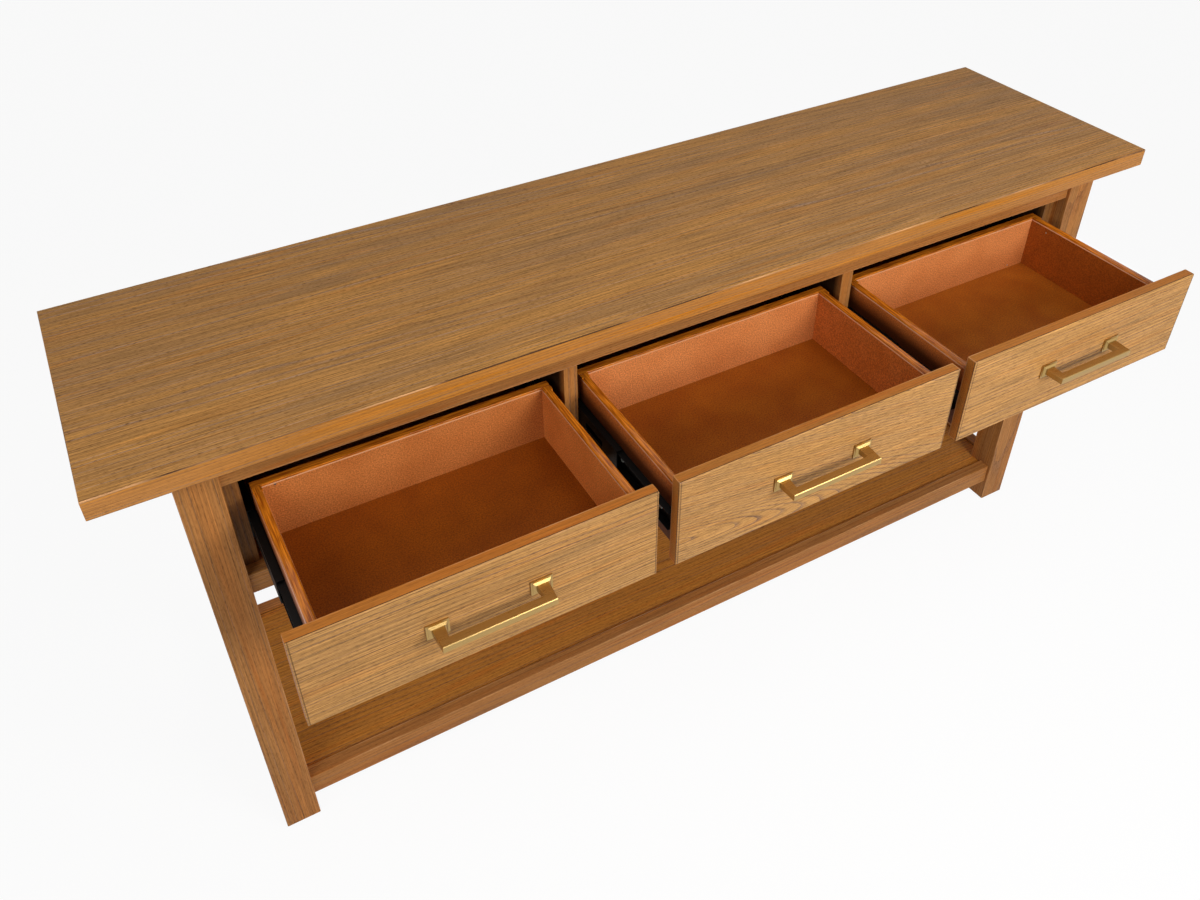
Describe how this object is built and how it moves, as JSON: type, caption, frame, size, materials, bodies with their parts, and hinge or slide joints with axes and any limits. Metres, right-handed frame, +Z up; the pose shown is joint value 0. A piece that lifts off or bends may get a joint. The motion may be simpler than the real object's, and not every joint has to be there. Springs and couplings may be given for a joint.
{
  "type": "lowboy",
  "caption": "Long low console table: thick overhanging top on square legs, inset drawers on telescopic slides with square bar pulls, and an open shelf near the floor.",
  "frame": {"origin": "on the floor, below the middle of the top", "axes": "+X to the right along the length, -Y towards the front where the drawers open, +Z up"},
  "size_m": [1.676, 0.673, 0.762],
  "materials": {
    "oak_veneer": "satin lacquered oak veneer",
    "solid_oak": "satin lacquered oak",
    "frame_wood": "sawn, unfinished",
    "stained_mdf": "stained and lacquered",
    "drawer_bottom": "stained, satin",
    "satin_brass": "satin, lacquered",
    "black_steel": "black coated",
    "zinc_steel": "zinc plated",
    "nylon": "moulded"
  },
  "bodies": {
    "carcass": {"top_panel": "oak_veneer", "left_side_panel": "oak_veneer", "right_side_panel": "oak_veneer", "back_panel": "oak_veneer", "shelf_panel": "oak_veneer", "top_front_lipping": "solid_oak", "top_back_lipping": "solid_oak", "top_left_lipping": "solid_oak", "top_right_lipping": "solid_oak", "front_left_leg": "solid_oak", "front_right_leg": "solid_oak", "back_left_leg": "solid_oak", "back_right_leg": "solid_oak", "front_top_rail": "solid_oak", "front_bottom_rail": "solid_oak", "left_filler": "solid_oak", "right_filler": "solid_oak", "left_divider": "solid_oak", "right_divider": "solid_oak", "shelf_front_rail": "solid_oak", "shelf_back_rail": "solid_oak", "shelf_left_rail": "solid_oak", "shelf_right_rail": "solid_oak", "corner_blocks": "frame_wood", "shelf_cleats": "frame_wood", "case_bottom": "stained_mdf", "leg_glides": "nylon", "left_cabinet_slides": "black_steel", "middle_cabinet_slides": "black_steel", "right_cabinet_slides": "black_steel"},
    "left_drawer": {"left_drawer_front": "oak_veneer", "left_drawer_left_side": "stained_mdf", "left_drawer_right_side": "stained_mdf", "left_drawer_back": "stained_mdf", "left_drawer_bottom": "drawer_bottom", "left_pull_bar": "satin_brass", "left_pull_rosettes": "satin_brass", "left_pull_screws": "zinc_steel", "left_drawer_slides": "black_steel"},
    "left_slide_middles": {"left_middle_slides": "black_steel"},
    "middle_drawer": {"middle_drawer_front": "oak_veneer", "middle_drawer_left_side": "stained_mdf", "middle_drawer_right_side": "stained_mdf", "middle_drawer_back": "stained_mdf", "middle_drawer_bottom": "drawer_bottom", "middle_pull_bar": "satin_brass", "middle_pull_rosettes": "satin_brass", "middle_pull_screws": "zinc_steel", "middle_drawer_slides": "black_steel"},
    "middle_slide_middles": {"middle_middle_slides": "black_steel"},
    "right_drawer": {"right_drawer_front": "oak_veneer", "right_drawer_left_side": "stained_mdf", "right_drawer_right_side": "stained_mdf", "right_drawer_back": "stained_mdf", "right_drawer_bottom": "drawer_bottom", "right_pull_bar": "satin_brass", "right_pull_rosettes": "satin_brass", "right_pull_screws": "zinc_steel", "right_drawer_slides": "black_steel"},
    "right_slide_middles": {"right_middle_slides": "black_steel"}
  },
  "joints": [
    {"name": "left_drawer_slide", "type": "slide", "parent": "carcass", "child": "left_drawer", "axis": [0, -1, 0], "range_m": [-0.25, 0]},
    {"name": "left_slide_middle_slide", "type": "slide", "parent": "carcass", "child": "left_slide_middles", "axis": [0, -1, 0], "range_m": [-0.125, 0]},
    {"name": "middle_drawer_slide", "type": "slide", "parent": "carcass", "child": "middle_drawer", "axis": [0, -1, 0], "range_m": [-0.25, 0]},
    {"name": "middle_slide_middle_slide", "type": "slide", "parent": "carcass", "child": "middle_slide_middles", "axis": [0, -1, 0], "range_m": [-0.125, 0]},
    {"name": "right_drawer_slide", "type": "slide", "parent": "carcass", "child": "right_drawer", "axis": [0, -1, 0], "range_m": [-0.25, 0]},
    {"name": "right_slide_middle_slide", "type": "slide", "parent": "carcass", "child": "right_slide_middles", "axis": [0, -1, 0], "range_m": [-0.125, 0]}
  ],
  "couplings": [
    {"joint": "left_slide_middle_slide", "follows": "left_drawer_slide", "ratio": 0.5},
    {"joint": "middle_slide_middle_slide", "follows": "middle_drawer_slide", "ratio": 0.5},
    {"joint": "right_slide_middle_slide", "follows": "right_drawer_slide", "ratio": 0.5}
  ]
}
